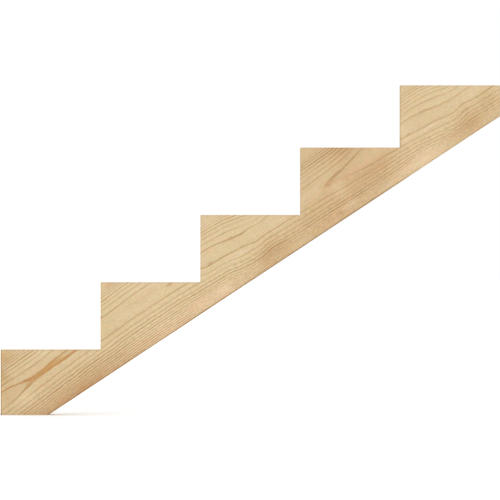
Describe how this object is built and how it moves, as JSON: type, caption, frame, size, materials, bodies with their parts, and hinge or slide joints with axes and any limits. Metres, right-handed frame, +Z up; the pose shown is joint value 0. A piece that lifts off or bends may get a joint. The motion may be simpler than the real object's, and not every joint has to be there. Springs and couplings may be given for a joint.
{
  "type": "stair stringer",
  "caption": "Cut stair stringer sawn from one pine plank: a sawtooth of level tread seats and plumb riser seats, with a level foot and a plumb top end, to carry stair treads.",
  "frame": {"origin": "the toe: where the face of the first riser meets the floor, at mid-thickness", "axes": "+X along the run towards the landing, +Y through the thickness to the back side, +Z up"},
  "size_m": [1.397, 0.038, 0.922],
  "materials": {
    "pine": "planed faces and sawn cuts, bare unfinished softwood"
  },
  "bodies": {
    "root": {"stringer": "pine"}
  },
  "joints": []
}
